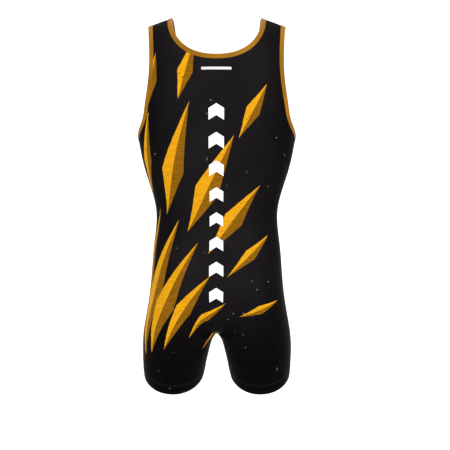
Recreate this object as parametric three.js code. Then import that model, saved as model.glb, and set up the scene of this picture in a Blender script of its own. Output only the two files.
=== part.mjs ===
// A wrestling singlet in the shape it takes when worn, hollow, with open neck, armholes and legs.
// Millimetres, +Z up. The front faces -Y, the back faces +Y and the wearer's left is +X.
// The origin lies midway between the two shoulder seams, where the straps rest on the wearer.
// Every height is given as a drop, the distance below that origin.
import * as THREE from "three";

// The cloth, the seams and the bindings that finish the neck and the armholes.
const CLOTH = 2;
const SEAM_GAP = 0.3;
const BINDING = { width: 10.5, proud: 0.6 };
// Across a binding from its free edge: where each line of its section lies, and its share of full thickness.
const BINDING_SECTION = [
  { across: 0, full: 0.3 },
  { across: 0.14, full: 1 },
  { across: 0.86, full: 1 },
  { across: 1, full: 0.3 },
];

// The shoulder seam, a straight line from the neck edge to the shoulder tip.
const SHOULDER = { neckHalfWidth: 99.5, neckDrop: -4.5, tipHalfWidth: 158, tipDrop: 14.5 };
const SHOULDER_ROUNDNESS = 2.7;
const UNDERARM_DROP = 264;
const NECK_ROUNDNESS = 2.3;
const BACK_NECK_DROP = 101;
const FRONT_NECK_DROP = 165;

// The armhole's edge on each side, from the shoulder tip to the underarm.
const BACK_ARMHOLE = [
  { drop: 45, out: 150.5 },
  { drop: 100, out: 146.5 },
  { drop: 155, out: 149 },
  { drop: 205, out: 157 },
  { drop: 243, out: 168 },
];
const FRONT_ARMHOLE = [
  { drop: 45, out: 146 },
  { drop: 100, out: 136 },
  { drop: 155, out: 137 },
  { drop: 205, out: 149 },
  { drop: 243, out: 166 },
];

// Level sections of the torso: half width, and how far the front and the back stand from the shoulder seams' plane.
const TORSO_ROUNDNESS = 2.3;
const TORSO = [
  { drop: 0, halfWidth: 205, front: 92, back: 78 },
  { drop: 188, halfWidth: 192, front: 109, back: 99 },
  { drop: 264, halfWidth: 180, front: 114, back: 106 },
  { drop: 340, halfWidth: 164, front: 109, back: 99 },
  { drop: 430, halfWidth: 139, front: 98, back: 84 },
  { drop: 510, halfWidth: 144, front: 97, back: 98 },
  { drop: 590, halfWidth: 150, front: 96, back: 120 },
  { drop: 650, halfWidth: 157, front: 93, back: 126 },
  { drop: 716, halfWidth: 167.5, front: 88, back: 112 },
  { drop: 770, halfWidth: 168.5, front: 84, back: 90 },
  { drop: 840, halfWidth: 162, front: 84, back: 74 },
];

// Level sections of each leg: how far its front and its back stand from the same plane.
const LEG_ROUNDNESS = 2.15;
const LEG = [
  { drop: 560, front: 94, back: 112 },
  { drop: 650, front: 91, back: 118 },
  { drop: 716, front: 87, back: 104 },
  { drop: 770, front: 84, back: 87 },
  { drop: 840, front: 84, back: 74 },
];
// The arch between the legs: a narrow apex that opens into two straight inner sides.
const CROTCH_DROP = 708;
const ARCH = { apexHalfWidth: 9, apexDepth: 14, apexPower: 0.65, spread: 0.22 };

// Between the seat and the crotch the torso's sections turn into the legs' sections.
const SPLIT_HEIGHT = 165;
const SPLIT_ROUNDNESS = 2.3;
const SPLIT_MIDDLE_ANGLE = 50;
// Away from the middle the change starts more gently, and at the middle the sections are rounded by a share.
const SPLIT_SOFTNESS = 5;
const SPLIT_BRIDGE = 0.55;

// The hem of each leg: its drop at the outer and inner side, and how much lower than those the back is.
const HEM = { outerDrop: 798, innerDrop: 806, tilt: 23, dip: 6 };

// How finely each stretch is divided.
const NECK_STEPS = 24;
const ARMHOLE_STEPS = 24;
const STRAP_LINES = 17;
const STRAP_ROWS = 7;
const SIDE_STEPS = 3;
const COLUMNS = STRAP_ROWS + NECK_STEPS - STRAP_LINES;
const YOKE_FOOT_DROP = 345;
const STRAP_SAG = 0.2;
const TORSO_ROWS = 9;
const SPLIT_ROWS = 9;
const LEG_ROWS = 5;

const BLACK_KNIT = { color: "#1d1b1e", roughness: 0.62, metalness: 0 };
const BROWN_BINDING = { color: "#a06a14", roughness: 0.6, metalness: 0 };

const BACK = 1;
const FRONT = -1;
const LEFT = 1;
const RIGHT = -1;
const QUARTER = Math.PI / 2;
const { lerp, smoothstep, degToRad } = THREE.MathUtils;

// A natural cubic spline through one column of a table, against another column.
function splineOf(rows, column, against = "drop") {
  const x = rows.map((row) => row[against]);
  const y = rows.map((row) => row[column]);
  const last = x.length - 1;
  const bend = new Array(last + 1).fill(0);
  const upper = new Array(last + 1).fill(0);
  for (let i = 1; i < last; i++) {
    const before = x[i] - x[i - 1];
    const after = x[i + 1] - x[i];
    const pivot = 2 * (before + after) - before * upper[i - 1];
    upper[i] = after / pivot;
    const turn = 6 * ((y[i + 1] - y[i]) / after - (y[i] - y[i - 1]) / before);
    bend[i] = (turn - before * bend[i - 1]) / pivot;
  }
  for (let i = last - 1; i > 0; i--) bend[i] -= upper[i] * bend[i + 1];
  return (at) => {
    let i = 0;
    while (i < last - 1 && at > x[i + 1]) i++;
    const span = x[i + 1] - x[i];
    const b = (at - x[i]) / span;
    const a = 1 - b;
    const curve = (a ** 3 - a) * bend[i] + (b ** 3 - b) * bend[i + 1];
    return a * y[i] + b * y[i + 1] + (curve * span * span) / 6;
  };
}

const halfWidthAt = splineOf(TORSO, "halfWidth");
const torsoDepthAt = { [FRONT]: splineOf(TORSO, "front"), [BACK]: splineOf(TORSO, "back") };
const legDepthAt = { [FRONT]: splineOf(LEG, "front"), [BACK]: splineOf(LEG, "back") };

// A unit outline between a circle and a square, at an angle from its y axis.
function outline(angle, roundness) {
  const s = Math.sin(angle);
  const c = Math.cos(angle);
  const reach = (Math.abs(s) ** roundness + Math.abs(c) ** roundness) ** (-1 / roundness);
  return { across: reach * s, along: reach * c };
}

// The angle at which that outline reaches a given share across.
function angleAt(share, roundness = TORSO_ROUNDNESS) {
  const along = Math.max(0, 1 - share ** roundness) ** (1 / roundness);
  return Math.atan2(share, along);
}

function shoulderDrop(out) {
  const share = (out - SHOULDER.neckHalfWidth) / (SHOULDER.tipHalfWidth - SHOULDER.neckHalfWidth);
  return lerp(SHOULDER.neckDrop, SHOULDER.tipDrop, share);
}

function torsoPoint(side, angle, drop) {
  const { across, along } = outline(angle, TORSO_ROUNDNESS);
  return new THREE.Vector3(halfWidthAt(drop) * across, side * torsoDepthAt[side](drop) * along, -drop);
}

// The height from the underarm up to the shoulder line on one upright strip of the yoke.
function yokeHeight(angle) {
  return UNDERARM_DROP - shoulderDrop(halfWidthAt(0) * outline(angle, TORSO_ROUNDNESS).across);
}

// Above the underarm each upright strip curves over to the shoulder line as a quarter of an outline.
// turn is 0 on the shoulder line and 1 at the underarm, and beyond 1 it runs on down the torso.
function yokePoint(side, angle, turn) {
  const height = yokeHeight(angle);
  if (turn > 1) return torsoPoint(side, angle, UNDERARM_DROP + height * QUARTER * (turn - 1));
  const point = torsoPoint(side, angle, UNDERARM_DROP);
  const { across, along } = outline(turn * QUARTER, SHOULDER_ROUNDNESS);
  const drop = UNDERARM_DROP - height * along;
  const x = (point.x * halfWidthAt(drop)) / halfWidthAt(UNDERARM_DROP);
  return new THREE.Vector3(x, point.y * across, -drop);
}

function onYoke(out, drop) {
  const angle = angleAt(out / halfWidthAt(drop));
  return { angle, turn: turnAt(angle, drop) };
}

function turnAt(angle, drop) {
  const height = yokeHeight(angle);
  if (drop > UNDERARM_DROP) return 1 + (drop - UNDERARM_DROP) / (height * QUARTER);
  return 1 - angleAt(Math.min(1, (UNDERARM_DROP - drop) / height), SHOULDER_ROUNDNESS) / QUARTER;
}

// Half the gap between the legs.
function innerAt(drop) {
  const below = Math.max(0, drop - CROTCH_DROP);
  const apex = ARCH.apexHalfWidth * (1 - Math.exp(-below / ARCH.apexDepth)) ** ARCH.apexPower;
  return apex + ARCH.spread * below;
}

// bridge rounds the section at the middle, above the crotch, where it crosses to the other leg.
function legPoint(side, angle, drop, bridge = 0) {
  const inner = innerAt(drop);
  const half = (halfWidthAt(drop) - inner) / 2;
  const { across, along } = outline(2 * angle, LEG_ROUNDNESS);
  const middle = (legDepthAt[BACK](drop) - legDepthAt[FRONT](drop)) / 2;
  const depth = (legDepthAt[BACK](drop) + legDepthAt[FRONT](drop)) / 2;
  const reach = Math.hypot(across, bridge * (1 - smoothstep(angle, 0, degToRad(SPLIT_MIDDLE_ANGLE))));
  return new THREE.Vector3(inner + half * (1 - along), middle + side * depth * reach, -drop);
}

// turn is 0 at the crotch and 1 at the top of the split.
function splitPoint(side, angle, turn) {
  const rise = 1 - Math.cos(turn * QUARTER) ** (2 / SPLIT_ROUNDNESS);
  const atMiddle = Math.sin(turn * QUARTER) ** (2 / SPLIT_ROUNDNESS);
  const softness = lerp(1, SPLIT_SOFTNESS, smoothstep(angle, 0, degToRad(SPLIT_MIDDLE_ANGLE)));
  const torsoShare = atMiddle ** softness;
  const drop = CROTCH_DROP - SPLIT_HEIGHT * rise;
  const bridge = SPLIT_BRIDGE * atMiddle;
  return legPoint(side, angle, drop, bridge).lerp(torsoPoint(side, angle, drop), torsoShare);
}

function hemDrop(side, angle) {
  const { across, along } = outline(2 * angle, LEG_ROUNDNESS);
  const level = lerp(HEM.innerDrop, HEM.outerDrop, (1 - along) / 2);
  return level + HEM.tilt * side * across + HEM.dip * across * across;
}

// A direction square to the cloth and away from the body, from two neighbouring points each way.
function squareTo(at, first, second) {
  const tiny = 1e-4;
  const byFirst = at(first + tiny, second).sub(at(first - tiny, second));
  const bySecond = at(first, second + tiny).sub(at(first, second - tiny));
  return byFirst.cross(bySecond).normalize();
}

// The neck's edge from the shoulder seam to the middle, as places {angle, turn} on the yoke.
function neckPlace(side, share) {
  const depth = (side === BACK ? BACK_NECK_DROP : FRONT_NECK_DROP) - SHOULDER.neckDrop;
  const { across, along } = outline(share * QUARTER, NECK_ROUNDNESS);
  const out = SHOULDER.neckHalfWidth * along;
  const place = onYoke(out, SHOULDER.neckDrop + depth * across);
  if (share === 0) place.turn = 0;
  if (share === 1) place.angle = 0;
  return place;
}

// The armhole's edge from the shoulder tip to the underarm. Front and back are one line under the arm.
const armholePlace = (() => {
  const tip = { angle: angleAt(SHOULDER.tipHalfWidth / halfWidthAt(SHOULDER.tipDrop)), turn: 0 };
  const back = [tip, ...BACK_ARMHOLE.map(({ out, drop }) => onYoke(out, drop))];
  const front = [tip, ...FRONT_ARMHOLE.map(({ out, drop }) => onYoke(out, drop))];
  const marks = [
    ...back.map(({ angle, turn }) => ({ round: QUARTER - angle, turn })),
    { round: 0, turn: 1 },
    ...front.reverse().map(({ angle, turn }) => ({ round: angle - QUARTER, turn })),
  ];
  marks.forEach((mark, i) => {
    mark.step = i / (marks.length - 1);
  });
  const round = splineOf(marks, "round", "step");
  const turn = splineOf(marks, "turn", "step");
  return (side, share) => {
    const step = side === BACK ? share / 2 : 1 - share / 2;
    return { angle: QUARTER - Math.abs(round(step)), turn: Math.max(0, turn(step)) };
  };
})();

// An edge moved over the cloth towards the panel by a real distance. It starts on the shoulder seam and
// keeps to it there, and ends on the middle line or on the side seam and keeps to that.
function moved(side, placeAt, share, distance, towards) {
  const place = placeAt(side, share);
  const at = (angle, turn) => yokePoint(side, angle, turn);
  const tiny = 1e-3;
  const byAngle = at(place.angle + tiny, place.turn).sub(at(place.angle, place.turn)).divideScalar(tiny);
  const byTurn = at(place.angle, place.turn + tiny).sub(at(place.angle, place.turn)).divideScalar(tiny);
  if (share === 0) return { angle: place.angle + (towards * distance) / byAngle.length(), turn: 0 };
  if (share === 1) return { angle: place.angle, turn: place.turn + distance / byTurn.length() };
  const before = placeAt(side, share - tiny);
  const after = placeAt(side, share + tiny);
  const along = at(after.angle, after.turn).sub(at(before.angle, before.turn));
  const inwards = along.cross(byAngle.clone().cross(byTurn)).setLength(distance);
  const aa = byAngle.dot(byAngle);
  const bb = byTurn.dot(byTurn);
  const ab = byAngle.dot(byTurn);
  const spread = aa * bb - ab * ab;
  let a = (inwards.dot(byAngle) * bb - inwards.dot(byTurn) * ab) / spread;
  let b = (inwards.dot(byTurn) * aa - inwards.dot(byAngle) * ab) / spread;
  // The panel lies further out than the neck's edge, and further in than the armhole's, or lower down.
  const downwards = Math.abs(b) * Math.sqrt(bb) > Math.abs(a) * Math.sqrt(aa);
  if (downwards ? b < 0 : a * towards < 0) {
    a = -a;
    b = -b;
  }
  return { angle: place.angle + a, turn: place.turn + b };
}

const neckMoved = (side, share, distance) => moved(side, neckPlace, share, distance, 1);
const armholeMoved = (side, share, distance) => moved(side, armholePlace, share, distance, -1);

// The places of the yoke's points. Strap lines run from the neck to the armhole. Below the last of them, body
// rows run from the armhole and the side seam to the middle, down to the foot of the yoke.
function yokePlaces(side, edge) {
  const sum = (...terms) => ({
    angle: terms.reduce((total, [share, place]) => total + share * place.angle, 0),
    turn: terms.reduce((total, [share, place]) => total + share * place.turn, 0),
  });
  const neck = shares(NECK_STEPS).map((share) => neckMoved(side, share, edge));
  const armhole = shares(ARMHOLE_STEPS).map((share) => armholeMoved(side, share, edge));
  // The strap lines sag more and more, so that the last one passes below the armhole's curve.
  const strap = shares(STRAP_LINES).map((down, i) => {
    return shares(STRAP_ROWS).map((across) => {
      const place = sum([1 - across, neck[i]], [across, armhole[i]]);
      place.turn += STRAP_SAG * down ** 3 * across * (1 - across);
      return place;
    });
  });

  // The body's four edges, from which its inner places follow.
  const foot = shares(COLUMNS).map((share) => {
    const angle = QUARTER * (1 - share);
    return { angle, turn: turnAt(angle, YOKE_FOOT_DROP) };
  });
  const underarm = armhole[ARMHOLE_STEPS];
  const sideSeam = shares(SIDE_STEPS).slice(1).map((down) => sum([1 - down, underarm], [down, foot[0]]));
  const top = [...strap[STRAP_LINES].slice().reverse(), ...neck.slice(STRAP_LINES + 1)];
  const outside = [...armhole.slice(STRAP_LINES), ...sideSeam];
  const bodyRows = outside.length - 1;
  const body = outside.map((place, k) => {
    const down = k / bodyRows;
    const middle = sum([1 - down, top[COLUMNS]], [down, foot[COLUMNS]]);
    return top.map((topPlace, j) => {
      const across = j / COLUMNS;
      if (k === 0) return topPlace;
      if (k === bodyRows) return foot[j];
      if (j === 0) return place;
      return sum(
        [1 - down, topPlace], [down, foot[j]], [1 - across, place], [across, middle],
        [-(1 - across) * (1 - down), top[0]], [-across * (1 - down), top[COLUMNS]],
        [-(1 - across) * down, foot[0]], [-across * down, foot[COLUMNS]],
      );
    });
  });
  return { strap, body };
}

// The left half of a panel as outer points and quads. The points on a seam or on the middle line are marked.
function halfPanel(side) {
  const points = [];
  const add = (point, seam, middle, normal) => points.push({ point, seam, middle, normal }) - 1;
  const edge = BINDING.width + SEAM_GAP;

  const { strap, body } = yokePlaces(side, edge);
  const yoke = new Map();
  const addPlace = (place, seam, middle) => {
    const { point, normal } = yokeLine(side, place);
    yoke.set(place, add(point, seam, middle, normal));
  };
  strap.forEach((line, i) => line.forEach((place) => addPlace(place, i === 0, false)));
  body.forEach((row, k) => {
    row.forEach((place, j) => {
      const seam = j === 0 && k >= ARMHOLE_STEPS - STRAP_LINES;
      if (!yoke.has(place)) addPlace(place, seam, j === COLUMNS);
    });
  });

  // Below it rows run from the middle to the side seam, and on the legs from the inner seam.
  const rows = [body[body.length - 1].map((place) => yoke.get(place)).reverse()];
  const addRow = (at, onMiddle, onInnerSeam) => {
    const row = [];
    for (let j = 0; j <= COLUMNS; j++) {
      const seam = j === COLUMNS || (j === 0 && onInnerSeam);
      row.push(add(at((j / COLUMNS) * QUARTER), seam, j === 0 && onMiddle));
    }
    rows.push(row);
  };
  const splitTop = CROTCH_DROP - SPLIT_HEIGHT;
  for (let k = 1; k <= TORSO_ROWS; k++) {
    const drop = lerp(YOKE_FOOT_DROP, splitTop, k / TORSO_ROWS);
    addRow((angle) => torsoPoint(side, angle, drop), true, false);
  }
  for (let k = SPLIT_ROWS - 1; k >= 0; k--) {
    addRow((angle) => splitPoint(side, angle, k / SPLIT_ROWS), true, k === 0);
  }
  for (let k = 1; k <= LEG_ROWS; k++) {
    const share = (k / LEG_ROWS) ** 1.25;
    const dropAt = (angle) => lerp(CROTCH_DROP, hemDrop(side, angle), share);
    addRow((angle) => legPoint(side, angle, dropAt(angle)), false, true);
  }

  const quads = [];
  const addYokeQuads = (lines, turned) => {
    for (let k = 1; k < lines.length; k++) {
      for (let i = 1; i < lines[k].length; i++) {
        const places = [lines[k - 1][i - 1], lines[k][i - 1], lines[k][i], lines[k - 1][i]];
        const quad = places.map((place) => yoke.get(place));
        quads.push(turned ? quad.reverse() : quad);
      }
    }
  };
  addYokeQuads(strap, true);
  addYokeQuads(body, false);
  for (let k = 1; k < rows.length; k++) {
    for (let j = 1; j <= COLUMNS; j++) {
      quads.push([rows[k - 1][j - 1], rows[k][j - 1], rows[k][j], rows[k - 1][j]].reverse());
    }
  }
  return { points, quads };
}

// Two triangles a quad, across its shorter diagonal.
function split(quad, at) {
  const [a, b, c, d] = quad;
  const short = at(a).distanceTo(at(c)) <= at(b).distanceTo(at(d));
  return short ? [[a, b, c], [a, c, d]] : [[b, c, d], [b, d, a]];
}

function solid(name, points, triangles, finish) {
  const volume = triangles.reduce((sum, [a, b, c]) => {
    return sum + points[a].dot(points[b].clone().cross(points[c]));
  }, 0);
  const facingOut = volume > 0 ? triangles : triangles.map(([a, b, c]) => [a, c, b]);
  const geometry = new THREE.BufferGeometry();
  geometry.setAttribute("position", new THREE.Float32BufferAttribute(points.flatMap((p) => p.toArray()), 3));
  geometry.setIndex(facingOut.flat());
  geometry.computeVertexNormals();
  const mesh = new THREE.Mesh(geometry, new THREE.MeshStandardMaterial(finish));
  mesh.name = name;
  return mesh;
}

// Both faces of a sheet and the walls along its open edges. Point i of the inner face is i + count.
function walled(sheet, count) {
  const edges = new Set(sheet.flatMap(([a, b, c]) => [`${a},${b}`, `${b},${c}`, `${c},${a}`]));
  const walls = [];
  for (const edge of edges) {
    const [a, b] = edge.split(",").map(Number);
    if (!edges.has(`${b},${a}`)) walls.push([b, a, a + count], [b, a + count, b + count]);
  }
  return [...sheet, ...sheet.map(([a, b, c]) => [a + count, c + count, b + count]), ...walls];
}

// A whole panel: the half and its mirror image share the middle line, and the cloth's thickness lies inwards.
function panel(name, side) {
  const half = halfPanel(side);
  const halfTriangles = half.quads.flatMap((quad) => split(quad, (i) => half.points[i].point));
  const sums = half.points.map(() => new THREE.Vector3());
  for (const triangle of halfTriangles) {
    const [a, b, c] = triangle.map((i) => half.points[i].point);
    const area = b.clone().sub(a).cross(c.clone().sub(a));
    triangle.forEach((i) => sums[i].add(area));
  }
  const facing = Math.sign(sums.reduce((sum, normal) => sum + normal.y * side, 0));
  const normals = half.points.map(({ normal }, i) => normal ?? sums[i].multiplyScalar(facing));
  const outer = half.points.map(({ point, seam, middle }) => {
    const place = point.clone();
    if (middle) place.x = 0;
    if (seam) place.y += (side * SEAM_GAP) / 2;
    return place;
  });
  const inner = half.points.map(({ seam, middle }, i) => {
    const normal = normals[i];
    if (middle) normal.x = 0;
    if (seam) normal.y = 0;
    return outer[i].clone().addScaledVector(normal.normalize(), -CLOTH);
  });

  const count = outer.length;
  const mirrored = half.points.map(({ middle }, i) => (middle ? i : i + count));
  const mirror = (p) => new THREE.Vector3(-p.x, p.y, p.z);
  const sheet = [...halfTriangles, ...halfTriangles.map(([a, b, c]) => [mirrored[a], mirrored[c], mirrored[b]])];
  const used = [...new Set(sheet.flat())];
  const number = new Map(used.map((i, k) => [i, k]));
  const numbered = sheet.map((triangle) => triangle.map((i) => number.get(i)));
  const both = (face) => [...face, ...face.map(mirror)];
  const points = [...used.map((i) => both(outer)[i]), ...used.map((i) => both(inner)[i])];
  return solid(name, points, walled(numbered, used.length), BLACK_KNIT);
}

// A closed binding: one section at each station, the last joined to the first.
function ring(name, sections) {
  const size = sections[0].length;
  const points = sections.flat();
  const triangles = [];
  for (let i = 0; i < sections.length; i++) {
    const next = (i + 1) % sections.length;
    for (let k = 0; k < size; k++) {
      const l = (k + 1) % size;
      const quad = [i * size + k, i * size + l, next * size + l, next * size + k];
      triangles.push(...split(quad, (n) => points[n]));
    }
  }
  return solid(name, points, triangles, BROWN_BINDING);
}

// A binding's section: its lines on the outer face, then the same lines on the inner face on the way back.
function bindingSection(lineAt) {
  const lines = BINDING_SECTION.map(({ across, full }) => {
    const { point, normal } = lineAt(across * BINDING.width);
    return { point, normal, proud: BINDING.proud * (2 * full - 1) };
  });
  const outer = lines.map(({ point, normal, proud }) => point.clone().addScaledVector(normal, proud));
  const inner = lines.map(({ point, normal, proud }) => point.clone().addScaledVector(normal, -CLOTH - proud));
  return [...outer, ...inner.reverse()];
}

function yokeLine(side, place) {
  const point = yokePoint(side, place.angle, place.turn);
  const turn = Math.max(place.turn, 2e-4);
  const normal = squareTo((a, t) => yokePoint(side, a, t), place.angle, turn);
  const body = new THREE.Vector3(0, 0, -UNDERARM_DROP);
  if (normal.dot(point.clone().sub(body)) < 0) normal.negate();
  if (place.turn === 0 || place.angle === QUARTER) normal.y = 0;
  if (place.angle === 0) normal.x = 0;
  return { point, normal: normal.normalize() };
}

const mirroredSection = (section) => section.map((p) => new THREE.Vector3(-p.x, p.y, p.z));
const shares = (steps) => Array.from({ length: steps + 1 }, (_, i) => i / steps);

function neckBinding(name) {
  const quarter = (side) => {
    return shares(NECK_STEPS).map((share) => {
      return bindingSection((distance) => yokeLine(side, neckMoved(side, share, distance)));
    });
  };
  const back = quarter(BACK);
  const front = quarter(FRONT);
  const sections = [
    ...back.slice(0, -1),
    ...back.slice(1).reverse().map(mirroredSection),
    ...front.slice(0, -1).map(mirroredSection),
    ...front.slice(1).reverse(),
  ];
  return ring(name, sections);
}

function armholeBinding(name, hand) {
  const quarter = (side) => {
    return shares(ARMHOLE_STEPS).map((share) => {
      return bindingSection((distance) => yokeLine(side, armholeMoved(side, share, distance)));
    });
  };
  const sections = [...quarter(BACK).slice(0, -1), ...quarter(FRONT).slice(1).reverse()];
  return ring(name, hand === LEFT ? sections : sections.map(mirroredSection));
}

const singlet = new THREE.Group();
singlet.name = "wrestling_singlet";
singlet.add(
  panel("back_panel", BACK),
  panel("front_panel", FRONT),
  neckBinding("neck_binding"),
  armholeBinding("armhole_binding_left", LEFT),
  armholeBinding("armhole_binding_right", RIGHT),
);

export default singlet;
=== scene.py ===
import functools
import math

import bmesh
import bpy
from bpy.props import FloatProperty, FloatVectorProperty, IntProperty, PointerProperty
from mathutils import Matrix, Vector
from mathutils.bvhtree import BVHTree
from mathutils.kdtree import KDTree


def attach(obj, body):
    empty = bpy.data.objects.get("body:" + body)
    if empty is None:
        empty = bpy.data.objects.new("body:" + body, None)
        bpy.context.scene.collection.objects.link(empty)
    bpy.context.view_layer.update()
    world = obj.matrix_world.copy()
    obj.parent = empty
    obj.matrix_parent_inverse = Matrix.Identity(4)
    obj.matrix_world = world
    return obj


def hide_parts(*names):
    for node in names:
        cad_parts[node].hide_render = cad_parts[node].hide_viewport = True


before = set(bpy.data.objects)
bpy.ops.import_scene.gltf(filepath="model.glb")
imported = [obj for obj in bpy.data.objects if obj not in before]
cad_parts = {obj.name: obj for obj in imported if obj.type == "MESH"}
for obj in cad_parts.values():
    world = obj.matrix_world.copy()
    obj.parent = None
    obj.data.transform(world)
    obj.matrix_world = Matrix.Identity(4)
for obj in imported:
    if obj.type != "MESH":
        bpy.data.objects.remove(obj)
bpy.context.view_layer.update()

bl_info = {
    "name": "Wrestling Singlet",
    "version": (1, 0, 0),
    "blender": (4, 5, 0),
    "location": "3D View > Sidebar > Singlet",
    "description": "Cloth, bindings, sewing and stage of a wrestling singlet in its worn shape",
    "category": "Object",
}

BACK, FRONT = 1, -1
PANELS = {"back_panel": BACK, "front_panel": FRONT}
BINDINGS = ("neck_binding", "armhole_binding_left", "armhole_binding_right")
CUT = "cut"

FOLD_LIMIT = math.radians(56)  # a wall's face turns less than this from one facet to the next
BINDING_CORNER = math.radians(35)  # a binding's corners turn more than this
SEAM_REACH = 0.001  # an edge this near to the other panel is sewn to it
HALF_SEAM = 0.00015  # half the gap that stands for a seam
HEM_TOP = -0.75  # the hems lie below this height
HEM_LIFT = 0.0005  # how far a turned hem stands proud
HEM_STEP = 0.003  # how wide the step at a turned hem's edge is
TUCK = 0.0035  # how far the cloth runs on under its binding

# How far each row of stitches lies inside the solid's edge. A hem's two rows count from the hem's width.
HEM_ROWS = (-0.002, 0.001)
SEAM_ROW = 0.0025
BINDING_ROW = -0.0022

# Flat size of each panel as worn, in metres: width, length and area.
PANEL_CUT = {
    "back_panel": (0.537, 0.914, 0.310),
    "front_panel": (0.535, 0.885, 0.278),
}

# Soft creases in the flat cut's own measures, in metres. A ridge's depth is negative. Each crease runs
# on past both ends by a share of its length, and fades there over another.
RUN_OUT = 0.35
FADE = 0.6
CREASES = {
    "back_panel": [
        # from u, from v, to u, to v, half width, depth
        (0.120, -0.412, 0.020, -0.432, 0.010, 0.0011),
        (0.150, -0.438, 0.060, -0.452, 0.009, 0.0010),
        (-0.145, -0.420, -0.055, -0.436, 0.010, 0.0010),
        (-0.165, -0.446, -0.090, -0.455, 0.008, 0.0009),
        (0.022, -0.640, 0.105, -0.700, 0.014, 0.0026),
        (-0.022, -0.640, -0.105, -0.700, 0.014, 0.0026),
        (0.012, -0.600, 0.070, -0.655, 0.011, -0.0012),
        (-0.012, -0.600, -0.070, -0.655, 0.011, -0.0012),
        (0.150, -0.300, 0.185, -0.350, 0.010, 0.0009),
        (-0.150, -0.300, -0.185, -0.350, 0.010, 0.0009),
        (0.060, -0.735, 0.120, -0.790, 0.012, 0.0010),
        (-0.055, -0.745, -0.115, -0.785, 0.012, 0.0010),
    ],
    "front_panel": [
        (0.115, -0.425, 0.015, -0.440, 0.010, 0.0010),
        (-0.105, -0.415, -0.020, -0.430, 0.011, 0.0010),
        (0.150, -0.455, 0.075, -0.466, 0.009, 0.0009),
        (-0.150, -0.452, -0.085, -0.462, 0.009, 0.0009),
        (0.018, -0.650, 0.110, -0.600, 0.012, 0.0018),
        (-0.018, -0.650, -0.110, -0.600, 0.012, 0.0018),
        (0.020, -0.668, 0.100, -0.650, 0.010, 0.0014),
        (-0.020, -0.668, -0.100, -0.650, 0.010, 0.0014),
        (0.150, -0.285, 0.175, -0.345, 0.011, 0.0010),
        (-0.150, -0.285, -0.175, -0.345, 0.011, 0.0010),
    ],
}

# The printed shards fan out from one point by the left hem. Angles are from straight up, towards the middle.
FAN_POINT = (0.245, -0.845)
SHARDS = {
    "back_panel": [
        # angle, near, far, half width, share of its length where it is widest
        (5.5, 0.115, 0.450, 0.017, 0.40),
        (13.0, 0.105, 0.435, 0.023, 0.36),
        (21.5, 0.120, 0.425, 0.026, 0.42),
        (31.0, 0.135, 0.395, 0.025, 0.40),
        (41.5, 0.155, 0.350, 0.019, 0.50),
        (53.0, 0.205, 0.335, 0.012, 0.50),
        (9.0, 0.455, 0.640, 0.014, 0.45),
        (16.5, 0.425, 0.670, 0.025, 0.42),
        (26.0, 0.405, 0.640, 0.028, 0.45),
        (36.0, 0.385, 0.585, 0.023, 0.50),
        (46.0, 0.375, 0.520, 0.013, 0.50),
        (9.0, 0.655, 0.760, 0.013, 0.42),
        (14.5, 0.670, 0.800, 0.016, 0.45),
        (27.0, 0.640, 0.765, 0.015, 0.50),
        (61.0, 0.345, 0.450, 0.009, 0.50),
        (72.0, 0.195, 0.275, 0.009, 0.45),
    ],
    "front_panel": [
        (5.5, 0.115, 0.450, 0.017, 0.40),
        (14.0, 0.150, 0.390, 0.020, 0.40),
        (24.0, 0.180, 0.330, 0.015, 0.45),
        (9.0, 0.455, 0.640, 0.014, 0.45),
        (18.0, 0.430, 0.560, 0.014, 0.45),
    ],
}

# Worn places in the print. The first two are as they look on a screen, the last is linear.
STREAK = (0.62, 0.41, 0.06)
PINHOLE = (0.20, 0.13, 0.05)
SPECK = (0.30, 0.29, 0.30, 1)
SHEEN_TINT = (0.85, 0.83, 0.9, 1)

# The plain bar below the neck: half its width, its height on the cut and half its thickness.
BAR_HALF_WIDTH, BAR_HEIGHT, BAR_HALF = 0.030, -0.1354, 0.0028
CHEVRON_SLOPE = 0.62

CAMERA_ASIDE, CAMERA_HEIGHT = -0.0184, -0.4646
LIT_PLACE = (0, 0, -0.42)
LIGHTS = [
    # name, place, size, power, colour
    ("key", (-1.1, 2.2, 1.0), 1.6, 36, (1.0, 0.99, 0.97)),
    ("fill", (1.5, 1.9, -0.2), 1.6, 6, (0.96, 0.97, 1.0)),
    ("top", (0.0, 0.3, 1.7), 1.4, 12, (1.0, 1.0, 1.0)),
    ("front", (0.2, -2.2, 0.4), 1.6, 30, (1.0, 1.0, 1.0)),
]

# The floor is a square that turns up into a backdrop.
FLOOR_HALF = 4.0
WALL_DISTANCE = 1.8
WALL_LEAN = 0.6
WALL_HEIGHT = 4.5
WALL_BEND = 0.7


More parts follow.
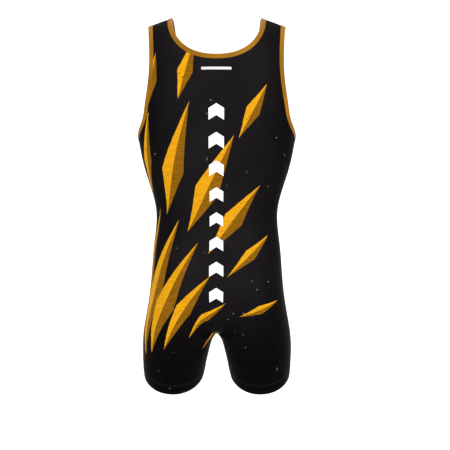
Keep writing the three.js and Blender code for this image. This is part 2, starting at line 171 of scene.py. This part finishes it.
class Field:
    """A socket of a material's node tree, so that shader maths reads as ordinary Python."""

    def __init__(self, tree, socket=None):
        self.tree = tree
        self.socket = socket

    def node(self, kind, settings=None, sockets=None, out=0):
        """Adds any node: its settings first, then the values or links of its sockets."""
        node = self.tree.nodes.new(kind)
        for name, value in (settings or {}).items():
            setattr(node, name, value)
        for key, value in (sockets or {}).items():
            if isinstance(value, Field):
                self.tree.links.new(value.socket, node.inputs[key])
            else:
                node.inputs[key].default_value = value
        return Field(self.tree, node.outputs[out] if node.outputs else None)

    def maths(self, operation, *others):
        return self.node("ShaderNodeMath", {"operation": operation}, dict(enumerate((self, *others))))

    def _reflected(self, operation, other):
        return self.node("ShaderNodeMath", {"operation": operation}, {0: other, 1: self})

    def __add__(self, other):
        return self.maths("ADD", other)

    __radd__ = __add__

    def __sub__(self, other):
        return self.maths("SUBTRACT", other)

    def __rsub__(self, other):
        return self._reflected("SUBTRACT", other)

    def __mul__(self, other):
        return self.maths("MULTIPLY", other)

    __rmul__ = __mul__

    def __truediv__(self, other):
        return self.maths("DIVIDE", other)

    def __gt__(self, other):
        return self.maths("GREATER_THAN", other)

    def __lt__(self, other):
        return self.maths("LESS_THAN", other)

    def __abs__(self):
        return self.maths("ABSOLUTE")

    def smooth(self, low, high):
        """0 below low and 1 above high, with a soft turn between."""
        sockets = {"Value": self, "From Min": low, "From Max": high}
        return self.node("ShaderNodeMapRange", {"interpolation_type": "SMOOTHSTEP"}, sockets)

    def colour(self, low, high):
        """A colour between low and high, by this field's value."""
        sockets = {"Factor": self, 6: low, 7: high}
        return self.node("ShaderNodeMix", {"data_type": "RGBA"}, sockets, 2)

    def either(self, other):
        """The greater of two masks."""
        return self.maths("MAXIMUM", other)

    def noise(self, scale, detail=2.0, roughness=0.5):
        """Soft noise over this field's places."""
        sockets = {"Vector": self, "Scale": scale, "Detail": detail, "Roughness": roughness}
        return self.node("ShaderNodeTexNoise", {}, sockets)

    def dots(self, scale):
        """How far this field's places lie from scattered points."""
        return self.node("ShaderNodeTexVoronoi", {}, {"Vector": self, "Scale": scale, "Randomness": 1.0})

    def stretched(self, scale, move=(0, 0, 0), turn=0.0):
        """This field's places, scaled, moved and turned."""
        sockets = {"Vector": self, "Scale": scale, "Location": move, "Rotation": (0, 0, turn)}
        return self.node("ShaderNodeMapping", {}, sockets)

    def bump(self):
        """The normal of a surface that this field raises, in metres."""
        return self.node("ShaderNodeBump", {}, {"Strength": 0.4, "Distance": 1.0, "Height": self})


def linear(colour):
    """A colour as it looks on a screen, turned to the linear values that a shader takes."""
    def one(c):
        return c / 12.92 if c <= 0.04045 else ((c + 0.055) / 1.055) ** 2.4

    return (*(one(c) for c in colour), 1.0)


def shaded(colour, share):
    """A linear colour, darker or lighter by a share."""
    return (*(c * share for c in colour[:3]), 1)


def new_material(name):
    """An empty material, and the starting point of its fields."""
    material = bpy.data.materials.new(name)
    material.use_nodes = True
    material.node_tree.nodes.clear()
    return material, Field(material.node_tree)


def object_places(start):
    return start.node("ShaderNodeTexCoord", {}, {}, 3)


def finish_material(start, sockets):
    surface = start.node("ShaderNodeBsdfPrincipled", {}, sockets)
    start.node("ShaderNodeOutputMaterial", {}, {"Surface": surface})


class SINGLET_PG_cloth(bpy.types.PropertyGroup):
    wall: FloatProperty(
        name="Cloth Thickness", description="Thickness of the stretch knit",
        default=0.0008, min=0.0003, max=0.002, unit="LENGTH",
    )
    levels: IntProperty(
        name="Smoothing", description="Subdivision levels of the cloth",
        default=2, min=1, max=3,
    )
    crease: FloatProperty(
        name="Crease Depth", description="Multiplies the depth of every crease",
        default=1.0, min=0.0, max=2.0, subtype="FACTOR",
    )
    hem: FloatProperty(
        name="Hem Width", description="Width of the turned hem at each leg",
        default=0.02, min=0.01, max=0.04, unit="LENGTH",
    )
    black: FloatVectorProperty(
        name="Knit Colour", description="Colour of the knit",
        default=(0.088, 0.078, 0.086), min=0, max=1, size=3, subtype="COLOR_GAMMA",
    )
    rib_pitch: FloatProperty(
        name="Knit Pitch", description="Distance between two columns of loops",
        default=0.0011, min=0.0005, max=0.003, unit="LENGTH",
    )


class SINGLET_PG_print(bpy.types.PropertyGroup):
    gold: FloatVectorProperty(
        name="Gold", description="Light facet of each shard",
        default=(0.82, 0.58, 0.075), min=0, max=1, size=3, subtype="COLOR_GAMMA",
    )
    ochre: FloatVectorProperty(
        name="Ochre", description="Dark facet of each shard",
        default=(0.45, 0.30, 0.035), min=0, max=1, size=3, subtype="COLOR_GAMMA",
    )
    white: FloatVectorProperty(
        name="White", description="Colour of the chevrons",
        default=(0.93, 0.93, 0.92), min=0, max=1, size=3, subtype="COLOR_GAMMA",
    )
    pitch: FloatProperty(
        name="Chevron Pitch", description="Distance from one chevron to the next",
        default=0.0575, min=0.03, max=0.09, unit="LENGTH",
    )
    half_width: FloatProperty(
        name="Chevron Half Width", description="Half the width of a chevron",
        default=0.0155, min=0.005, max=0.03, unit="LENGTH",
    )
    arm: FloatProperty(
        name="Chevron Arm", description="Half the height of a chevron's arm",
        default=0.0118, min=0.004, max=0.02, unit="LENGTH",
    )
    count: IntProperty(
        name="Chevrons", description="How many chevrons stand in the column",
        default=8, min=1, max=12,
    )
    top: FloatProperty(
        name="Column Top", description="Height of the first chevron",
        default=-0.2225, min=-0.5, max=-0.1, unit="LENGTH",
    )


class SINGLET_PG_binding(bpy.types.PropertyGroup):
    colour: FloatVectorProperty(
        name="Binding Colour", description="Colour of the satin binding",
        default=(0.585, 0.39, 0.02), min=0, max=1, size=3, subtype="COLOR_GAMMA",
    )
    stitch_pitch: FloatProperty(
        name="Stitch Pitch", description="Distance from one stitch to the next",
        default=0.0032, min=0.002, max=0.006, unit="LENGTH",
    )
    thread: FloatProperty(
        name="Thread Thickness", description="Half thickness of the sewing thread",
        default=0.00028, min=0.0001, max=0.0006, unit="LENGTH",
    )


class SINGLET_PG_stage(bpy.types.PropertyGroup):
    lens: FloatProperty(
        name="Lens", description="Focal length in millimetres",
        default=43.456, min=20, max=120,
    )
    distance: FloatProperty(
        name="Camera Distance", description="From the camera to the shoulder seams' plane",
        default=1.2494, min=0.8, max=4, unit="LENGTH",
    )
    floor_drop: FloatProperty(
        name="Floor Drop", description="How far the floor lies below the shoulders",
        default=1.48, min=0.9, max=2.5, unit="LENGTH",
    )


def settings_of(name):
    return getattr(bpy.context.scene, f"singlet_{name}")


def add_object(name, bm):
    """A new object at the origin from a bmesh, which is freed."""
    mesh = bpy.data.meshes.new(name)
    bm.to_mesh(mesh)
    bm.free()
    if "custom_normal" in mesh.attributes:
        mesh.attributes.remove(mesh.attributes["custom_normal"])
    mesh.shade_smooth()
    piece = bpy.data.objects.new(name, mesh)
    bpy.context.scene.collection.objects.link(piece)
    return piece


def merged_copy(node):
    """A copy of a CAD node's mesh with its loose triangles merged."""
    bm = bmesh.new()
    bm.from_mesh(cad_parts[node].data)
    bmesh.ops.remove_doubles(bm, verts=bm.verts, dist=1e-5)
    for layer in list(bm.loops.layers.uv.values()):
        bm.loops.layers.uv.remove(layer)
    return bm


def to_quads(bm):
    bmesh.ops.join_triangles(
        bm, faces=bm.faces, angle_face_threshold=math.radians(50), angle_shape_threshold=math.pi,
        cmp_seam=False, cmp_sharp=False, cmp_uvs=False, cmp_vcols=False, cmp_materials=False,
    )


def outer_face(node, side):
    """The outward face of a panel's wall, as quads."""
    bm = merged_copy(node)
    outward = [f for f in bm.faces if side * f.normal.y > 0.8]
    seed = max(outward, key=lambda f: side * f.calc_center_median().y)
    reached = {seed}
    front = [seed]
    while front:
        face = front.pop()
        for edge in face.edges:
            on_middle = all(abs(v.co.x) < 1e-5 for v in edge.verts)
            if edge.calc_face_angle(math.pi) > FOLD_LIMIT and not on_middle:
                continue
            for other in edge.link_faces:
                if other not in reached:
                    reached.add(other)
                    front.append(other)
    total = len(bm.faces)
    bmesh.ops.delete(bm, geom=[f for f in bm.faces if f not in reached], context="FACES")
    rim = sum(edge.is_boundary for edge in bm.edges)
    if 2 * len(bm.faces) + 2 * rim != total:
        raise RuntimeError(f"{node}: the outward face isn't one side of the wall")
    to_quads(bm)
    return bm


def applied(piece):
    """Applies every modifier of a piece to its mesh."""
    graph = bpy.context.evaluated_depsgraph_get()
    mesh = bpy.data.meshes.new_from_object(piece.evaluated_get(graph))
    old = piece.data
    piece.modifiers.clear()
    piece.data = mesh
    bpy.data.meshes.remove(old)
    mesh.name = piece.name
    return piece


def smoothed(piece, levels):
    """Subdivides a piece, with its points moved first so that the smooth surface passes through them."""
    smoothing = piece.modifiers.new("smoothing", "SUBSURF")
    smoothing.levels = smoothing.render_levels = levels
    smoothing.boundary_smooth = "PRESERVE_CORNERS"
    verts = piece.data.vertices
    wanted = [v.co.copy() for v in verts]
    graph = bpy.context.evaluated_depsgraph_get()
    for _ in range(4):
        graph.update()
        rounded = piece.evaluated_get(graph).data.vertices
        misses = [place - rounded[i].co for i, place in enumerate(wanted)]
        for vert, miss in zip(verts, misses):
            vert.co += miss
        piece.data.update()
    graph.update()
    return applied(piece)


def lay_flat(piece):
    """Unwraps a panel to its flat cut, in metres, with the middle line at u = 0 and v near to the height."""
    mesh = piece.data
    mesh.uv_layers.new(name=CUT)
    bpy.context.view_layer.objects.active = piece
    piece.select_set(True)
    bpy.ops.object.mode_set(mode="EDIT")
    bpy.ops.mesh.select_all(action="SELECT")
    bpy.ops.uv.unwrap(method="ANGLE_BASED", margin=0.0)
    bpy.ops.object.mode_set(mode="OBJECT")
    piece.select_set(False)

    bm = bmesh.new()
    bm.from_mesh(mesh)
    layer = bm.loops.layers.uv[CUT]
    place = {loop.vert: loop[layer].uv.copy() for face in bm.faces for loop in face.loops}
    flat = 0.0
    for face in bm.faces:
        corners = [place[v] for v in face.verts]
        flat += abs(sum(a.cross(b) for a, b in zip(corners, corners[1:] + corners[:1]))) / 2
    scale = math.sqrt(sum(face.calc_area() for face in bm.faces) / flat)
    middle = sorted((v for v in bm.verts if abs(v.co.x) < 1e-4), key=lambda v: v.co.z)
    up = (place[middle[-1]] - place[middle[0]]).normalized()
    left = Vector((up.y, -up.x))
    widest = max(bm.verts, key=lambda v: v.co.x)
    if left.dot(place[widest] - place[middle[0]]) < 0:
        left.negate()
    anchor = min(middle, key=lambda v: abs(v.co.z + 0.45))
    for face in bm.faces:
        for loop in face.loops:
            away = place[loop.vert] - place[anchor]
            loop[layer].uv = (scale * away.dot(left), scale * away.dot(up) + anchor.co.z)
    bm.to_mesh(mesh)
    bm.free()


def soft_step(share):
    share = min(1.0, max(0.0, share))
    return share * share * (3 - 2 * share)


def press_creases(piece, node, depth_scale, hem):
    """Presses the soft creases into the cloth along its normals, and lifts the turned hem a little."""
    bm = bmesh.new()
    bm.from_mesh(piece.data)
    bm.normal_update()
    layer = bm.loops.layers.uv[CUT]
    rims = rims_of(bm, node)
    tree = points_tree(rims["hem"])
    seam = {v for e in rims["seam"] for v in e.verts}
    moves = {}
    for vert in bm.verts:
        at = vert.link_loops[0][layer].uv
        move = 0.0
        for u0, v0, u1, v1, half, depth in [] if vert in seam else CREASES[node]:
            start, line = Vector((u0, v0)), Vector((u1 - u0, v1 - v0))
            share = (at - start).dot(line) / line.length_squared
            if not -RUN_OUT < share < 1 + RUN_OUT:
                continue
            off = (at - start - line * share).length / half
            taper = soft_step((share + RUN_OUT) / FADE) * soft_step((1 + RUN_OUT - share) / FADE)
            move -= depth * depth_scale * taper * math.exp(-off * off)
        if vert.co.z < HEM_TOP:
            distance = tree.find(vert.co)[2]
            move += HEM_LIFT * (1 - soft_step((distance - hem) / HEM_STEP))
        moves[vert] = vert.normal * move
    for vert, move in moves.items():
        vert.co += move
    bm.to_mesh(piece.data)
    bm.free()


def solid_tree(node):
    """A CAD node's surface, to find the nearest point on it."""
    bm = merged_copy(node)
    tree = BVHTree.FromBMesh(bm)
    bm.free()
    return tree


def rims_of(bm, node):
    """A panel's boundary edges by what they are sewn to: the other panel, a leg's hem or a binding."""
    (other,) = set(PANELS) - {node}
    tree = solid_tree(other)
    rims = {"seam": [], "hem": [], "bound": []}
    for edge in bm.edges:
        if not edge.is_boundary:
            continue
        if all(tree.find_nearest(v.co)[3] < SEAM_REACH for v in edge.verts):
            rims["seam"].append(edge)
        elif all(v.co.z < HEM_TOP for v in edge.verts):
            rims["hem"].append(edge)
        else:
            rims["bound"].append(edge)
    return rims


def points_tree(edges):
    """The end points of edges, to find the nearest of them."""
    verts = {v for e in edges for v in e.verts}
    tree = KDTree(len(verts))
    for i, vert in enumerate(verts):
        tree.insert(vert.co, i)
    tree.balance()
    return tree


def outward_of(edge):
    """The direction out of the cloth at one of its boundary edges."""
    face = edge.link_faces[0]
    a, b = edge.verts
    away = (b.co - a.co).cross(face.normal).normalized()
    if away.dot((a.co + b.co) / 2 - face.calc_center_median()) < 0:
        away.negate()
    return away


def verts_in(geometry):
    return [item for item in geometry if isinstance(item, bmesh.types.BMVert)]


def close_seams(piece, node, side):
    """Brings the seam edges of both panels together, and carries the bound edges on under their bindings."""
    bm = bmesh.new()
    bm.from_mesh(piece.data)
    bm.normal_update()
    rims = rims_of(bm, node)
    sewn = list({v for e in rims["seam"] for v in e.verts})
    bmesh.ops.translate(bm, verts=sewn, vec=(0, -side * HALF_SEAM, 0))
    outward = {}
    for edge in rims["bound"]:
        for vert in edge.verts:
            outward[vert] = outward.get(vert, Vector()) + outward_of(edge)
    made = bmesh.ops.extrude_edge_only(bm, edges=rims["bound"])["geom"]
    for vert in verts_in(made):
        twin = next(o for e in vert.link_edges for o in [e.other_vert(vert)] if o in outward)
        vert.co += outward[twin].normalized() * TUCK
    bm.to_mesh(piece.data)
    bm.free()


def shard_field(u, v, shard):
    """How far inside one shard a place lies, negative outside it, and the side of its ridge that it is on."""
    angle, near, far, half, widest = shard
    turn = math.radians(angle)
    fan_u, fan_v = FAN_POINT
    along_u, along_v = -math.sin(turn), math.cos(turn)
    along = (u - fan_u) * along_u + (v - fan_v) * along_v
    across = (u - fan_u) * along_v - (v - fan_v) * along_u
    peak = near + (far - near) * widest
    rising = (along - near) * (half / (peak - near))
    falling = (far - along) * (half / (far - peak))
    return rising.maths("MINIMUM", falling) - abs(across), across


def printed_shards(place, u, v, node):
    """The mask of all the shards and that of their light facets."""
    # A slow drift in the edges keeps the print from looking ruled.
    ragged = (place.noise(60.0, 3.0, 0.6) - 0.5) * 0.0022
    shards, facets = [], []
    for shard in SHARDS[node]:
        depth, across = shard_field(u, v, shard)
        shards.append((depth + ragged) > 0.0)
        facets.append(shards[-1] * ((across + ragged * 0.6) > 0.0))
    return functools.reduce(Field.either, shards), functools.reduce(Field.either, facets)


def gold_ink(place, facets, cells, patches):
    """Gold with its light and dark facets, fine streaks and pinholes."""
    print_ = settings_of("print")
    streaks = place.stretched((30.0, 260.0, 1.0), turn=0.5).noise(1.0, 4.0, 0.55)
    pinholes = (cells < 0.15) * (patches > 0.5)
    gold = facets.colour(linear(print_.ochre), linear(print_.gold))
    streaked = (streaks.smooth(0.35, 0.75) * 0.5).colour(gold, linear(STREAK))
    return (pinholes * 0.9).colour(streaked, linear(PINHOLE))


def worn_black_with_painted_shade(place, u, v, tone):
    """Black with grey specks and short scratches, and painted shade that darkens it on the legs and the
    flanks.
    """
    chosen = place.noise(9.0, 1.0)
    specks = (place.dots(48.0) < 0.075) * (chosen > 0.56)
    lines = place.stretched((62.0, 12.0, 1.0), move=(3.1, 1.7, 0.0)).dots(1.0)
    scratches = (lines < 0.045) * (chosen < 0.47)
    black = linear(settings_of("cloth").black)
    uneven = tone.smooth(0.3, 0.7).colour(shaded(black, 0.82), shaded(black, 1.2))
    # Painted shade: the black darkens down the legs and out towards both flanks, where less light falls on
    # the garment.
    painted_light_share = v.smooth(-0.78, -0.59) * (1 - abs(u).smooth(0.06, 0.17) * 0.85)
    base = painted_light_share.colour(shaded(black, 0.20), uneven)
    return (specks.either(scratches) * 0.55).colour(base, SPECK)


def white_marks(u, v, cells, patches):
    """One column of chevrons down the middle and a plain bar below the neck, both with chips."""
    print_ = settings_of("print")
    first = print_.top
    last = first - print_.pitch * (print_.count - 1)
    step = ((v - (first + print_.pitch / 2)) / -print_.pitch).maths("FRACT")
    height = (0.5 - step) * print_.pitch
    rise = height + abs(u) * CHEVRON_SLOPE
    arm = abs(rise - print_.half_width * CHEVRON_SLOPE / 2) < print_.arm
    column = arm * (abs(u) < print_.half_width)
    column = column * (v < first + print_.pitch / 2) * (v > last - print_.pitch / 2)
    bar = (abs(u) < BAR_HALF_WIDTH) * (abs(v - BAR_HEIGHT) < BAR_HALF)
    chips = (cells < 0.11) * (patches > 0.5)
    return column.either(bar * 0.7) * (1 - chips)


def knit_relief(place, u, v):
    """The height of the columns of knitted loops, and of the cloth's slack."""
    pitch = settings_of("cloth").rib_pitch
    columns = (u * (math.tau / pitch)).maths("SINE")
    loops = ((v + abs(columns) * (pitch * 0.35)) * (math.tau / (pitch * 0.8))).maths("SINE")
    return (columns * 0.6 + loops * 0.4) * 0.00006 + place.noise(26.0) * 0.0009


def printed_knit(node):
    """Black stretch knit with its printed shards, chevrons and worn specks."""
    material, start = new_material(f"printed_knit_{node}")
    place = start.node("ShaderNodeUVMap", {"uv_map": CUT})
    u, v = (start.node("ShaderNodeSeparateXYZ", {}, {0: place}, out) for out in (0, 1))
    cells, patches, tone = place.dots(95.0), place.noise(14.0), place.noise(7.0, 3.0)

    printed, facets = printed_shards(place, u, v, node)
    base = printed.colour(worn_black_with_painted_shade(place, u, v, tone), gold_ink(place, facets, cells, patches))
    if node == "back_panel":
        marks = white_marks(u, v, cells, patches)
        base = marks.colour(base, linear(settings_of("print").white))
        printed = printed.either(marks)

    finish_material(start, {
        "Base Color": base,
        "Roughness": 0.55 + (tone - 0.5) * 0.16 - printed * 0.05,
        "Normal": knit_relief(place, u, v).bump(),
        "Specular IOR Level": 0.012,
        "Sheen Weight": 0.001,
        "Sheen Roughness": 0.40,
        "Sheen Tint": SHEEN_TINT,
    })
    return material


def plain_knit():
    """The unprinted inner face of the knit."""
    material, start = new_material("plain_knit")
    place = object_places(start)
    broad = place.noise(12.0)
    base = linear(settings_of("cloth").black)
    finish_material(start, {
        "Base Color": broad.smooth(0.3, 0.7).colour(base, shaded(base, 1.5)),
        "Roughness": 0.7 + (broad - 0.5) * 0.1,
        "Normal": (place.noise(700.0) * 0.0001).bump(),
        "Specular IOR Level": 0.03,
    })
    return material


def satin_binding():
    """Brown gold satin binding, with a fine grain."""
    material, start = new_material("satin_binding")
    place = object_places(start)
    broad = place.noise(18.0, 3.0)
    base = linear(settings_of("binding").colour)
    finish_material(start, {
        "Base Color": broad.smooth(0.3, 0.7).colour(shaded(base, 0.70), base),
        "Roughness": 0.42 + (broad - 0.5) * 0.15,
        "Normal": (place.noise(900.0) * 0.0001 + broad * 0.0006).bump(),
        "Specular IOR Level": 0.08,
        "Sheen Weight": 0.01,
        "Sheen Roughness": 0.35,
    })
    return material


def sewing_thread(name, colour):
    """Twisted polyester thread."""
    material, start = new_material(name)
    twist = object_places(start).noise(2500.0, 1.0)
    base = linear(colour)
    finish_material(start, {
        "Base Color": twist.smooth(0.35, 0.65).colour(shaded(base, 0.6), base),
        "Roughness": 0.5 + (twist - 0.5) * 0.2,
        "Specular IOR Level": 0.4,
    })
    return material


class SINGLET_OT_panels(bpy.types.Operator):
    """Makes the front and back panels as thin printed knit on their solids' form"""

    bl_idname = "singlet.panels"
    bl_label = "Front and Back Panels"
    bl_options = {"REGISTER", "UNDO"}

    def execute(self, context):
        cloth = settings_of("cloth")
        plain = plain_knit()
        for node, side in PANELS.items():
            piece = smoothed(add_object(f"{node}_cloth", outer_face(node, side)), 1)
            lay_flat(piece)
            if cloth.levels > 1:
                finer = piece.modifiers.new("finer", "SUBSURF")
                finer.levels = finer.render_levels = cloth.levels - 1
                finer.boundary_smooth = "PRESERVE_CORNERS"
                applied(piece)
            press_creases(piece, node, cloth.crease, cloth.hem)
            close_seams(piece, node, side)
            piece.data.materials.clear()
            piece.data.materials.append(printed_knit(node))
            piece.data.materials.append(plain)
            wall = piece.modifiers.new("wall", "SOLIDIFY")
            wall.thickness = cloth.wall
            wall.offset = -1.0
            wall.use_even_offset = True
            wall.material_offset = 1
            applied(piece)
            piece.data.shade_smooth()
            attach(piece, "root")
            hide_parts(node)
        return {"FINISHED"}


class SINGLET_OT_bindings(bpy.types.Operator):
    """Makes the satin bindings of the neck and the armholes"""

    bl_idname = "singlet.bindings"
    bl_label = "Bindings"
    bl_options = {"REGISTER", "UNDO"}

    def execute(self, context):
        satin = satin_binding()
        for node in BINDINGS:
            bm = merged_copy(node)
            to_quads(bm)
            crease = bm.edges.layers.float.new("crease_edge")
            for edge in bm.edges:
                if edge.is_manifold and edge.calc_face_angle(0) > BINDING_CORNER:
                    edge[crease] = 0.55
            piece = smoothed(add_object(f"{node}_satin", bm), 2)
            piece.data.shade_smooth()
            piece.data.materials.clear()
            piece.data.materials.append(satin)
            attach(piece, "root")
            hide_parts(node)
        return {"FINISHED"}


def chains_of(edges):
    """Boundary edges joined to chains of vertices, each with its edges' mean direction out of the cloth."""
    outward = {}
    near = {}
    for edge in edges:
        for vert in edge.verts:
            outward[vert] = outward.get(vert, Vector()) + outward_of(edge)
            near.setdefault(vert, []).append(edge.other_vert(vert))
    chains = []
    left = set(near)
    while left:
        ends = [v for v in left if len(near[v]) == 1] or list(left)
        at = max(ends, key=lambda v: (v.co.z, v.co.x))
        chain = [at]
        left.discard(at)
        while True:
            onward = [v for v in near[at] if v in left]
            if not onward:
                break
            at = onward[0]
            chain.append(at)
            left.discard(at)
        if len(chain) > 2 and chain[0] in near[chain[-1]]:
            chain.append(chain[0])
        chains.append([(v.co.copy(), outward[v].normalized(), v.normal.copy()) for v in chain])
    return chains


def sew_row(bm, chain, inside, tree, pitch, thread):
    """Sews one row of stitches inside a chain of edges, laid on the surface of a tree."""
    line = [(place - away * inside, normal) for place, away, normal in chain]
    spare = pitch / 2
    for (a, na), (b, nb) in zip(line, line[1:]):
        length = (b - a).length
        while spare < length:
            share = spare / length
            normal = na.lerp(nb, share).normalized()
            found, facing, _, _ = tree.find_nearest(a.lerp(b, share) + normal * 0.0015)
            along = (b - a).normalized()
            along = (along - facing * along.dot(facing)).normalized()
            turn = Matrix((along, facing.cross(along), facing)).transposed().to_4x4()
            size = Matrix.Diagonal((pitch * 0.40, thread, thread, 1))
            place = Matrix.Translation(found + facing * thread * 0.35)
            bmesh.ops.create_icosphere(bm, subdivisions=1, radius=1, matrix=place @ turn @ size)
            spare += pitch
        spare -= length


class SINGLET_OT_sewing(bpy.types.Operator):
    """Sews the hems, the seams and the bindings"""

    bl_idname = "singlet.sewing"
    bl_label = "Sewing"
    bl_options = {"REGISTER", "UNDO"}

    def execute(self, context):
        binding = settings_of("binding")
        stitch = (binding.stitch_pitch, binding.thread)
        graph = context.evaluated_depsgraph_get()
        trees = {name: BVHTree.FromObject(bpy.data.objects[name], graph) for name in SEWN_ON}
        dark, bright = bmesh.new(), bmesh.new()
        for node, side in PANELS.items():
            sheet = outer_face(node, side)
            rims = rims_of(sheet, node)
            cloth = trees[f"{node}_cloth"]
            for chain in chains_of(rims["hem"]):
                for row in HEM_ROWS:
                    sew_row(dark, chain, settings_of("cloth").hem + row, cloth, *stitch)
            for chain in chains_of(rims["seam"]):
                sew_row(dark, chain, SEAM_ROW, cloth, *stitch)
            for chain in chains_of(rims["bound"]):
                middle = chain[len(chain) // 2][0]
                rings = [trees[f"{n}_satin"] for n in BINDINGS]
                ring = min(rings, key=lambda tree: tree.find_nearest(middle)[3])
                sew_row(bright, chain, BINDING_ROW, ring, *stitch)
            sheet.free()
        sewn = {
            "hem_and_seam_stitches": (dark, (0.10, 0.095, 0.105), "black_knit"),
            "binding_stitches": (bright, (0.66, 0.44, 0.10), "binding"),
        }
        for name, (bm, colour, slot) in sewn.items():
            piece = add_object(name, bm)
            piece.data.materials.append(sewing_thread(f"{name}_thread", colour))
            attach(piece, "root")
        for node, (width, length, area) in PANEL_CUT.items():
            cloth = bpy.data.objects[f"{node}_cloth"]
        return {"FINISHED"}


SEWN_ON = (*(f"{n}_cloth" for n in PANELS), *(f"{n}_satin" for n in BINDINGS))


class SINGLET_OT_stage(bpy.types.Operator):
    """Sets up the camera behind the garment, the pale floor and backdrop, and soft light"""

    bl_idname = "singlet.stage"
    bl_label = "Stage"
    bl_options = {"REGISTER", "UNDO"}

    def execute(self, context):
        stage = settings_of("stage")
        scene = context.scene
        scene.view_settings.view_transform = "Standard"

        camera = bpy.data.objects.new("camera", bpy.data.cameras.new("camera"))
        camera.data.lens = stage.lens
        camera.data.sensor_width = 36.0
        camera.location = (CAMERA_ASIDE, stage.distance, CAMERA_HEIGHT)
        camera.rotation_euler = (math.radians(90), 0, math.radians(180))
        scene.collection.objects.link(camera)
        scene.camera = camera

        bm = bmesh.new()
        level = Matrix.Translation((0, 0, -stage.floor_drop))
        bmesh.ops.create_grid(bm, x_segments=1, y_segments=1, size=FLOOR_HALF, matrix=level)
        far = [e for e in bm.edges if all(v.co.y < 0.1 - FLOOR_HALF for v in e.verts)]
        nearer = (0, FLOOR_HALF - WALL_DISTANCE, 0)
        bmesh.ops.translate(bm, verts=[v for e in far for v in e.verts], vec=nearer)
        wall = verts_in(bmesh.ops.extrude_edge_only(bm, edges=far)["geom"])
        bmesh.ops.translate(bm, verts=wall, vec=(0, -WALL_LEAN, WALL_HEIGHT))
        bend = [e for e in bm.edges if len(e.link_faces) == 2]
        bmesh.ops.bevel(
            bm, geom=bend, affect="EDGES", offset=WALL_BEND, offset_type="OFFSET",
            segments=16, profile=0.5, material=-1,
        )
        floor = add_object("floor", bm)
        material, start = new_material("pale_floor")
        grain = object_places(start).noise(4.0)
        finish_material(start, {
            "Base Color": grain.colour((0.88, 0.88, 0.88, 1), (0.90, 0.90, 0.90, 1)),
            "Roughness": 0.9,
            "Specular IOR Level": 0.1,
            "Emission Color": (1, 1, 1, 1),
            "Emission Strength": 0.3,
        })
        floor.data.materials.append(material)

        for name, place, size, power, colour in LIGHTS:
            data = bpy.data.lights.new(name, "AREA")
            data.size = size
            data.energy = power
            data.color = colour
            lamp = bpy.data.objects.new(name, data)
            lamp.location = place
            towards = Vector(LIT_PLACE) - Vector(place)
            lamp.rotation_euler = towards.to_track_quat("-Z", "Y").to_euler()
            scene.collection.objects.link(lamp)

        world = bpy.data.worlds.new("surroundings")
        world.use_nodes = True
        sky = world.node_tree.nodes["Background"]
        sky.inputs["Color"].default_value = (1, 1, 1, 1)
        sky.inputs["Strength"].default_value = 0.93
        scene.world = world
        return {"FINISHED"}


class SINGLET_PT_sidebar(bpy.types.Panel):
    bl_idname = "SINGLET_PT_sidebar"
    bl_label = "Wrestling Singlet"
    bl_space_type = "VIEW_3D"
    bl_region_type = "UI"
    bl_category = "Singlet"

    def draw(self, context):
        for name, operators in SIDEBAR.items():
            box = self.layout.box()
            group = settings_of(name)
            for prop in group.bl_rna.properties:
                if prop.identifier not in {"rna_type", "name"}:
                    box.prop(group, prop.identifier)
            for operator in operators:
                box.operator(operator)


SIDEBAR = {
    "cloth": ["singlet.panels"],
    "print": [],
    "binding": ["singlet.bindings", "singlet.sewing"],
    "stage": ["singlet.stage"],
}
GROUPS = {
    "cloth": SINGLET_PG_cloth,
    "print": SINGLET_PG_print,
    "binding": SINGLET_PG_binding,
    "stage": SINGLET_PG_stage,
}
OPERATORS = (SINGLET_OT_panels, SINGLET_OT_bindings, SINGLET_OT_sewing, SINGLET_OT_stage)
CLASSES = (*GROUPS.values(), *OPERATORS, SINGLET_PT_sidebar)


def register():
    for cls in CLASSES:
        bpy.utils.register_class(cls)
    for name, group in GROUPS.items():
        setattr(bpy.types.Scene, f"singlet_{name}", PointerProperty(type=group))


def unregister():
    for name in GROUPS:
        delattr(bpy.types.Scene, f"singlet_{name}")
    for cls in reversed(CLASSES):
        bpy.utils.unregister_class(cls)


def main():
    register()
    bpy.ops.singlet.stage()
    bpy.ops.singlet.panels()
    bpy.ops.singlet.bindings()
    bpy.ops.singlet.sewing()


if __name__ == "__main__":
    main()
